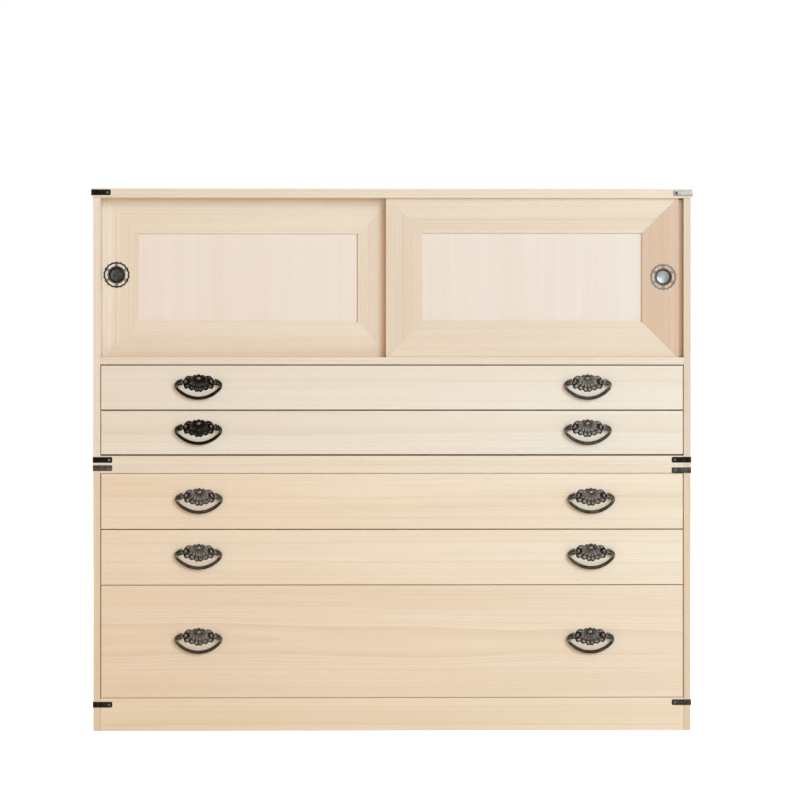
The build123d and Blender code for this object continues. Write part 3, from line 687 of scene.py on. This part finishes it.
def plate_wear_and_sheen(point, more):
    """How light a point is painted: crests are rubbed, more adds rubbing and painted reflection, and the dips
    beside the eyes are painted black as shade.
    """
    return -1 if from_hole(point.x, point.y) < HOLE_SHADE_R else clamped((point.z - 0.9) / 2.3) + more


plate_sample = wrapped(*PLATE_GRID, plate_point)
print("points in a plate", len(plate_sample.verts))
plate_sample.free()

# %% [markdown]
# ## The eyes
#
# A bail hangs in two eyes. An eye is a strip of iron bent into a ring, whose ends go through the plate and
# the drawer front and are clinched, bent flat against the wood inside. A spun circle makes the ring, and
# the shank and the clinched ends are bars with bevelled edges.

# %% Bars and rings
def bar(size, middle, rounded):
    """A bar with rounded edges."""
    shell = bmesh.new()
    bmesh.ops.create_cube(shell, size=1.0)
    bmesh.ops.scale(shell, vec=size, verts=shell.verts)
    soften(shell, list(shell.edges), rounded)
    bmesh.ops.translate(shell, vec=middle, verts=shell.verts)
    return shell


def spun_ring(radius, half_wide, half_thick, steps, sides=12):
    """A ring about the x axis, of oval section."""
    shell = bmesh.new()
    bmesh.ops.create_circle(shell, segments=sides, radius=1.0)
    bmesh.ops.scale(shell, vec=(half_wide, half_thick, 1), verts=shell.verts)
    bmesh.ops.translate(shell, vec=(0, radius, 0), verts=shell.verts)
    bmesh.ops.spin(
        shell, geom=list(shell.verts) + list(shell.edges), axis=(1, 0, 0), cent=(0, 0, 0),
        angle=math.radians(360), steps=steps, use_merge=True,
    )
    bmesh.ops.remove_doubles(shell, verts=shell.verts, dist=SEAM)
    bmesh.ops.recalc_face_normals(shell, faces=shell.faces)
    return shell


# %% An eye
EYE_X = 22.5
PIVOT_OUT = 7.0  # from the face of the drawer to the axis that a bail turns on
WALL = 18.0  # thickness of a drawer front
CLINCH_T = 1.3


def eye(x):
    ring = spun_ring(radius=2.1, half_wide=1.7, half_thick=0.7, steps=28)
    bmesh.ops.translate(ring, vec=(x, 0, PIVOT_OUT), verts=ring.verts)
    shank = bar((2.8, 3.0, 4.8), middle=(x, 0, 2.3), rounded=0.4)
    clinch = bar((3.2, 18.0, CLINCH_T), middle=(x, 0, -WALL - CLINCH_T / 2), rounded=0.35)
    return [ring, shank, clinch]


# %% Plates and eyes on the drawers
PIVOT_DOWN = 4.0 * MM  # from the top of a bail to its axis
# Added to the rubbing of each drawer's plate and bail. Besides wear it paints reflection: the right fittings
# are painted lighter, as if they mirrored the bright window, and those of the two upper drawers on the left
# darker.
WEAR_AND_SHEEN = {"left": [0, -0.25, -0.3, 0.1, 0.1, 0.1], "right": [0, 0.12, 0.1, 0.1, 0.08, 0.03]}  # by drawer
front_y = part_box("drawer_1_front")[0].y


def pivot(number, side):
    """The middle of the axis that a bail turns on."""
    low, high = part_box(f"drawer_{number}_bail_{side}")
    return (low.x + high.x) / 2, high.z - PIVOT_DOWN


for number in DRAWERS:
    shells = []
    for side in SIDES:
        x, z = pivot(number, side)
        fitting = joined([wrapped(*PLATE_GRID, plate_point), *eye(-EYE_X), *eye(EYE_X)])
        mark_wear_and_sheen(fitting, lambda point: plate_wear_and_sheen(point, WEAR_AND_SHEEN[side][number]))
        bmesh.ops.transform(fitting, matrix=stood_up(x, front_y, z), verts=fitting.verts)
        shells.append(fitting)
    name = f"drawer_{number}_handle_plates"
    fitted(joined(shells), f"{name}_cast", f"drawer_{number}", blackened, name, True)
print("handle plates", 2 * len(DRAWERS))

# %% [markdown]
# ## The bails
#
# A bail is a crescent whose ends turn up into broad wings, and each wing carries a pin that turns in an
# eye. One lattice makes the whole bow: its rows step along the crescent, and its columns run round the
# section. Two lines, the outer and the inner outline, say where each section begins and ends, so the sharp
# turn between bow and wing can't fold over itself.

# %% The bail's two outlines
BAIL_T = 4.4
OUTER = [
    [(28.2, 3.8), (32.0, 3.9), (38.5, 1.0), (40.9, -2.8)],
    [(40.9, -2.8), (42.5, -6.0), (42.3, -11.2), (39.5, -14.6)],
    [(39.5, -14.6), (29.7, -26.3), (15.2, -33.0), (0, -33.0)],
]
INNER = [
    [(28.2, -7.2), (30.5, -7.5), (34.0, -7.4), (36.0, -8.2)],
    [(36.0, -8.2), (36.9, -8.9), (36.9, -10.8), (35.8, -11.7)],
    [(35.8, -11.7), (26.0, -20.9), (13.6, -27.2), (0, -27.2)],
]
STEPS = [13, 9, 25]


def half_line(spans):
    """Points from a wing's inner end down to the middle of the bow."""
    points = []
    for knots, steps in zip(spans, STEPS):
        start, pull, push, end = (Vector((x, y, 0)) for x, y in knots)
        points += interpolate_bezier(start, pull, push, end, steps)[:-1]
    return points + [Vector((0, spans[-1][-1][1], 0))]


def whole_line(spans):
    half = half_line(spans)
    return half + [Vector((-p.x, p.y, 0)) for p in reversed(half[:-1])]


outer_line, inner_line = whole_line(OUTER), whole_line(INNER)
BAIL_ROWS = len(outer_line) - 1
print("sections along a bail", BAIL_ROWS + 1)


# %% The bail's section
GROOVES_IN = 1, 3  # a wing's grooves begin after this section, and deepen over so many
GROOVES_OUT = 17, 6  # they run out by this section, over so many


def bail_point(u, v):
    """u runs round the section and v along the bail. The wings carry two grooves along their front."""
    row = round(v * BAIL_ROWS)
    outer, inner = outer_line[row], inner_line[row]
    a, b = math.cos(u * math.tau), math.sin(u * math.tau)
    across = math.copysign(abs(a) ** 0.8, a)
    deep = BAIL_T / 2 * math.copysign(abs(b) ** 0.7, b)
    if b > 0:
        from_end = min(row, BAIL_ROWS - row)
        start, rise = GROOVES_IN
        stop, fall = GROOVES_OUT
        wing = clamped((from_end - start) / rise) * clamped((stop - from_end) / fall)
        deep -= wing * (1.5 * bump_at(across, 0.25, 0.19) + 1.0 * bump_at(across, -0.45, 0.15))
    place = (outer + inner) / 2 + (outer - inner) / 2 * across
    return (place.x, place.y, deep)


# %% A bail with its pins
BAIL_COLUMNS = 44
PIN_X = 24.6
PIN_R = 1.3
PIN_L = 9.4


def bail():
    bow = wrapped(BAIL_COLUMNS, BAIL_ROWS, bail_point)
    pins = []
    for x in (-PIN_X, PIN_X):
        pin = bmesh.new()
        bmesh.ops.create_cone(
            pin, cap_ends=True, cap_tris=False, segments=20, radius1=PIN_R, radius2=PIN_R, depth=PIN_L
        )
        turn = Matrix.Rotation(math.radians(90), 3, "Y")
        bmesh.ops.rotate(pin, cent=(0, 0, 0), matrix=turn, verts=pin.verts)
        bmesh.ops.translate(pin, vec=(x, 0, 0), verts=pin.verts)
        pins.append(pin)
    return joined([bow, *pins])


BOW_TOP = -12.0  # below the axis, where a wing ends and the bow begins
BOW_RUBBED = 0.3
WING_RUBBED = 0.7


# A bail's rubbed crests, plus half the drawer's share, which paints reflection as well as rubbing.
def bail_wear_and_sheen(point, more):
    rub_and_sheen = BOW_RUBBED if point.y < BOW_TOP else WING_RUBBED
    return clamped((point.z - 0.9) / 1.6) * rub_and_sheen + more / 2


# %% Bails in their eyes
for number in DRAWERS:
    for side in SIDES:
        x, z = pivot(number, side)
        hung = bail()
        mark_wear_and_sheen(hung, lambda point: bail_wear_and_sheen(point, WEAR_AND_SHEEN[side][number]))
        bmesh.ops.transform(hung, matrix=stood_up(x, front_y - PIVOT_OUT * MM, z), verts=hung.verts)
        name = f"drawer_{number}_bail_{side}"
        fitted(hung, f"{name}_forged", name, blackened, name, True)
print("bails", 2 * len(DRAWERS))

# %% [markdown]
# ## The finger pulls
#
# A sliding door has a round cup let into its stile, with an openwork border of thin cast metal. The cup is
# a line spun about its middle. The border is a ring whose radius swells eighteen times, and pairs of short
# bars that tie it to the lip of the cup.

# %% The cup
CUP_SIDES = 64
CUP_LINE = [  # distance from the middle, and height over the face of the door
    (0.0, -6.7), (10.2, -6.7), (11.6, -6.2), (12.6, -5.0), (12.8, 0.6), (13.3, 1.5), (14.3, 1.9), (15.2, 1.5),
    (15.6, 0.8), (15.5, 0.0), (14.0, 0.0), (14.0, -8.0), (0.0, -8.0),
]


def cup():
    shell = bmesh.new()
    corners = [shell.verts.new((r, 0, h)) for r, h in CUP_LINE]
    for first, second in zip(corners, corners[1:]):
        shell.edges.new((first, second))
    bmesh.ops.spin(
        shell, geom=list(shell.verts) + list(shell.edges), axis=(0, 0, 1), cent=(0, 0, 0),
        angle=math.radians(360), steps=CUP_SIDES, use_merge=True,
    )
    bmesh.ops.remove_doubles(shell, verts=shell.verts, dist=SEAM)
    bmesh.ops.recalc_face_normals(shell, faces=shell.faces)
    return shell


# %% The border
PULL_R = 23.25
SCALLOPS = 18
SWELL = 1.3
WIRE = 1.3  # half the ring's width. It is half as high as it is wide
BORDER_GRID = (SCALLOPS * 10, 10)
TIES = 6  # pairs of bars
TIE_APART = 1.2  # from the middle of a pair to each bar


def border_point(u, v):
    """The scalloped ring: u runs round the door pull, v round the wire."""
    turn, bend = u * math.tau, v * math.tau
    radius = PULL_R - WIRE - SWELL + SWELL * abs(math.sin(turn * SCALLOPS / 2)) + WIRE * math.cos(bend)
    return (radius * math.cos(turn), radius * math.sin(turn), WIRE / 2 * (1 + math.sin(bend)))


def openwork():
    shells = [wrapped(*BORDER_GRID, border_point)]
    for step in range(TIES):
        turn = Matrix.Rotation(math.tau / TIES * (step + 0.5), 3, "Z")
        for y in (-TIE_APART, TIE_APART):
            tie = bar((6.0, 1.2, 1.0), middle=(18.0, y, 0.55), rounded=0.3)
            bmesh.ops.rotate(tie, cent=(0, 0, 0), matrix=turn, verts=tie.verts)
            shells.append(tie)
    return shells


# %% Pulls in the doors
BORDER_FROM = 16.0  # the lip ends and the border begins this far from the middle
CUP_FLOOR = -6.0  # what lies lower is the cup's floor
# The right pull is painted much lighter than the left: its floor, lip and border carry a painted reflection
# of the bright window besides their rubbing.
PULL_WEAR_AND_SHEEN = {"left": (0.3, 0.1, 0.0), "right": (0.9, 0.4, 0.5)}  # of the cup's floor, its lip and the border


def pull_wear_and_sheen(point, floor_wear_and_sheen, lip_wear_and_sheen, border_wear_and_sheen):
    if point.z < CUP_FLOOR:
        return floor_wear_and_sheen
    outside = math.hypot(point.x, point.y) > BORDER_FROM
    return (border_wear_and_sheen if outside else lip_wear_and_sheen) + 0.3 * max(0, point.z - 0.7)


for side in SIDES:
    low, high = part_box(f"door_{side}_pull")
    face_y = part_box(f"door_{side}_stiles")[0].y
    rosette = joined([cup(), *openwork()])
    mark_wear_and_sheen(rosette, lambda point: pull_wear_and_sheen(point, *PULL_WEAR_AND_SHEEN[side]))
    place = stood_up((low.x + high.x) / 2, face_y, (low.z + high.z) / 2)
    bmesh.ops.transform(rosette, matrix=place, verts=rosette.verts)
    name = f"door_{side}_pull"
    fitted(rosette, f"{name}_cast", f"door_{side}", lacquered, name, True)
print("finger pulls", len(SIDES))

# %% [markdown]
# ## Corner straps
#
# Thin iron straps clasp the corners where two boards meet. A strap is one flat bar, bent round the corner:
# here a bar whose end is extruded round it. Each leg is held by a hand-made nail with a domed head.

# %% A strap
STRAP_L = 33.5
STRAP_H = 10.0
STRAP_T = 0.8
TIP_ROUND = 2.2
STRAP_ROUND = 0.18
TOUCH = 0.01  # a point this close to the end of a leg lies on it


def at_tip(edge):
    """True for an edge that runs through the strap's thickness at the end of a leg."""
    first, second = (vert.co for vert in edge.verts)
    level = abs(first.z - second.z) < TOUCH
    return level and any(min(first[axis], second[axis]) > STRAP_L - TOUCH for axis in (0, 1))


def strap():
    """A strap round a left front corner at the origin, with x to the right, y to the back and z up."""
    shell = bmesh.new()
    bmesh.ops.create_cube(shell, size=1.0)
    bmesh.ops.scale(shell, vec=(STRAP_L + STRAP_T, STRAP_T, STRAP_H), verts=shell.verts)
    bmesh.ops.translate(shell, vec=((STRAP_L - STRAP_T) / 2, -STRAP_T / 2, 0), verts=shell.verts)
    saw(shell, (0, 0, 0), (1, 0, 0))
    inside = [f for f in shell.faces if f.normal.y > 0.9 and f.calc_center_median().x < 0]
    draw_out(shell, inside, (0, STRAP_L, 0))
    soften(shell, [e for e in shell.edges if at_tip(e)], TIP_ROUND, segments=3)
    soften(shell, arrises(shell, 40), STRAP_ROUND)
    bmesh.ops.recalc_face_normals(shell, faces=shell.faces)
    return shell


# %% Nails
NAIL_R = 2.5
NAIL_DOME = 0.56  # the height of its head against half its width
NAIL_INSET = 5.6
NAIL_FOOT = 0.1  # the head is cut off flat this far above the ball's middle
NAIL_SUNK = 0.12


def nail(turn, middle):
    """A domed nail head: the upper part of a ball, cut off flat."""
    shell = bmesh.new()
    bmesh.ops.create_uvsphere(shell, u_segments=20, v_segments=12, radius=NAIL_R)
    bmesh.ops.scale(shell, vec=(1, 1, NAIL_DOME), verts=shell.verts)
    saw(shell, (0, 0, NAIL_FOOT), (0, 0, 1), drop_rest=True)
    bmesh.ops.holes_fill(shell, edges=[e for e in shell.edges if e.is_boundary])
    bmesh.ops.translate(shell, vec=(0, 0, -NAIL_SUNK), verts=shell.verts)
    bmesh.ops.rotate(shell, cent=(0, 0, 0), matrix=turn, verts=shell.verts)
    bmesh.ops.translate(shell, vec=middle, verts=shell.verts)
    return shell


def nailed_strap(rub_and_sheen):
    to_front = Matrix.Rotation(math.radians(90), 3, "X")
    to_side = Matrix.Rotation(math.radians(-90), 3, "Y")
    plain = strap()
    mark_wear_and_sheen(plain, lambda point: rub_and_sheen)
    heads = [
        nail(to_front, (STRAP_L - NAIL_INSET, -STRAP_T, 0)),
        nail(to_side, (-STRAP_T, STRAP_L - NAIL_INSET, 0)),
    ]
    for head in heads:
        mark_wear_and_sheen(head, lambda point: 0.5 - rub_and_sheen / 4)
    return joined([plain, *heads])


# %% Straps on the corners
TOP_OVERHANG = 2.5
half_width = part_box("upper_side_right")[1].x / MM
top_middle = sum(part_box("top_board")[i].z for i in (0, 1)) / 2 / MM
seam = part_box("upper_side_left")[0].z / MM
plinth_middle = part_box("plinth")[1].z / 2 / MM
# The right strap at the top is painted much lighter than the others, a painted reflection of the bright
# window besides its wear.
STRAPS = {  # case, how far out from the side panels, and height and wear of the left and the right strap
    "top": ("upper", TOP_OVERHANG, (top_middle + 1.1, 0.05), (top_middle + 0.3, 0.85)),
    "upper_foot": ("upper", 0, (seam + 8.8, 0.0), (seam + 8.9, 0.05)),
    "lower_head": ("lower", 0, (seam - 5.7, 0.3), (seam - 9.6, 0.25)),
    "plinth": ("lower", 0, (plinth_middle + 17.8, 0.1), (plinth_middle + 20.6, 0.2)),
}
for case in ("upper", "lower"):
    shells = []
    for which, out, left, right in STRAPS.values():
        if which != case:
            continue
        for mirror, (z, rub_and_sheen) in ((1, left), (-1, right)):
            clasp = nailed_strap(rub_and_sheen)
            bmesh.ops.translate(clasp, vec=(-half_width - out, front_y / MM - out, z), verts=clasp.verts)
            bmesh.ops.scale(clasp, vec=(mirror * MM, MM, MM), verts=clasp.verts)
            if mirror < 0:  # mirroring turned the shell inside out
                bmesh.ops.reverse_faces(clasp, faces=clasp.faces)
            shells.append(clasp)
    name = f"{case}_corner_straps"
    fitted(joined(shells), f"{name}_forged", f"{case}_case", rolled, name, True)
print("corner straps", 2 * len(STRAPS))

# %% [markdown]
# ## Floor, light and camera
#
# The chest stands on a plain pale floor. Two kinds of light meet on it. Cool daylight comes from a window
# high on the right in front, and its shadows fall to the lower left. Warm light, sent back by the walls of
# the room, fills those shadows with gold. Two dim screens in front are there for the iron to mirror. Two
# lamps behind and one overhead light the sides, the back and the top. What the camera sees behind the chest
# is plain white.

# %% What is looked at
def looked_at(tree):
    """1 for what is seen, straight on, in a mirror or through glass, and 0 for what only sends light."""
    kinds = ("Is Camera Ray", "Is Glossy Ray", "Is Transmission Ray")
    straight, mirrored, through = (add(tree, "LightPath", output=kind) for kind in kinds)
    seen = add(tree, "Math", {0: straight, 1: mirrored}, operation="MAXIMUM")
    return add(tree, "Math", {0: seen, 1: through}, operation="MAXIMUM")


# %% The floor
FLOOR_HALF = 15.0  # from its middle to each edge
paper, tree = new_tree("Studio_paper")
speck = add(tree, "TexNoise", {"Vector": add(tree, "TexCoord", output="Object"), "Scale": 400.0})
tint = add(tree, "Mix", {0: speck, 6: linear("#f4f3f1"), 7: linear("#fbfaf9")}, output=2, data_type="RGBA")
matt = add(tree, "BsdfDiffuse", {"Color": tint})
glow = add(tree, "Emission", {"Color": linear("#e8effa"), "Strength": looked_at(tree)})
add(tree, "OutputMaterial", {"Surface": add(tree, "AddShader", {0: matt, 1: glow})})

sheet = bmesh.new()
bmesh.ops.create_grid(sheet, x_segments=2, y_segments=2, size=FLOOR_HALF)
floor_mesh = bpy.data.meshes.new("floor")
sheet.to_mesh(floor_mesh)
sheet.free()
floor_mesh.materials.append(paper)
floor = bpy.data.objects.new("floor", floor_mesh)
bpy.context.scene.collection.objects.link(floor)

# %% The world
WORLD_LEVEL = 0.55  # of the room's light
ROOM_LIGHT = "#ffcc78"  # warm, as light is that has come back from wooden walls
world = bpy.data.worlds.new("Studio")
bpy.context.scene.world = world
world.use_nodes = True
tree = world.node_tree
tree.nodes.clear()
seen = looked_at(tree)
level = add(tree, "MapRange", {"Value": seen, "To Min": WORLD_LEVEL, "To Max": 1.0})
colour = add(tree, "Mix", {0: seen, 6: linear(ROOM_LIGHT), 7: linear("#ffffff")}, output=2, data_type="RGBA")
sky = add(tree, "Background", {"Color": colour, "Strength": level})
add(tree, "OutputWorld", {"Surface": sky})
print("room light", ROOM_LIGHT, "at", WORLD_LEVEL)


# %% The lamps
DAYLIGHT = "#bbdfff"


def lamp(name, place, aim, size, power):
    """A glowing rectangle at place that faces aim, its size in metres and its power in watts."""
    data = bpy.data.lights.new(name, "AREA")
    data.color = linear(DAYLIGHT)[:3]
    data.shape = "RECTANGLE"
    data.size, data.size_y = size
    data.energy = power
    made = bpy.data.objects.new(name, data)
    made.location = place
    made.rotation_euler = (Vector(aim) - Vector(place)).to_track_quat("-Z", "Y").to_euler()
    bpy.context.scene.collection.objects.link(made)


LAMPS = {  # place, aim, size and power
    "Key_window": ((2.1, -3.9, 2.1), (0, -0.2, 0.5), (2.0, 2.0), 138),
    "Right_screen": ((0.92, -4.3, 0.85), (0.1, -0.2, 0.5), (0.8, 1.7), 21),
    "Front_screen": ((-0.3, -4.5, 1.0), (-0.1, -0.2, 0.5), (0.8, 0.8), 5),
    "Back_left": ((-2.8, 3.2, 2.2), (0, 0.2, 0.5), (1.6, 1.6), 98),
    "Back_right": ((3.4, 2.0, 1.6), (0.3, 0, 0.5), (1.6, 1.6), 54),
    "Overhead": ((0, 1.4, 3.2), (0, 0.3, 0.9), (1.6, 1.6), 20),
}
for name, settings in LAMPS.items():
    lamp(name, *settings)
print("lamps", len(LAMPS))

# %% The camera
PIXEL = 1.766 * MM  # on the chest's front
FRAME = 800  # pixels across the picture
DISTANCE = 4.0
YAW = math.radians(0.7)
AIM = Vector((0.0134, front_y, 0.584))  # the point of the front in the middle of the picture
SENSOR = 36.0
camera_data = bpy.data.cameras.new("Camera")
camera_data.sensor_width = SENSOR
camera_data.lens = SENSOR * DISTANCE / (FRAME * PIXEL)
camera = bpy.data.objects.new("Camera", camera_data)
camera.location = AIM - DISTANCE * Vector((math.sin(YAW), math.cos(YAW), 0))
camera.rotation_euler = (math.radians(90), 0, -YAW)
bpy.context.scene.collection.objects.link(camera)
bpy.context.scene.camera = camera
bpy.context.scene.view_settings.view_transform = "Standard"
print("lens", round(camera_data.lens, 1))
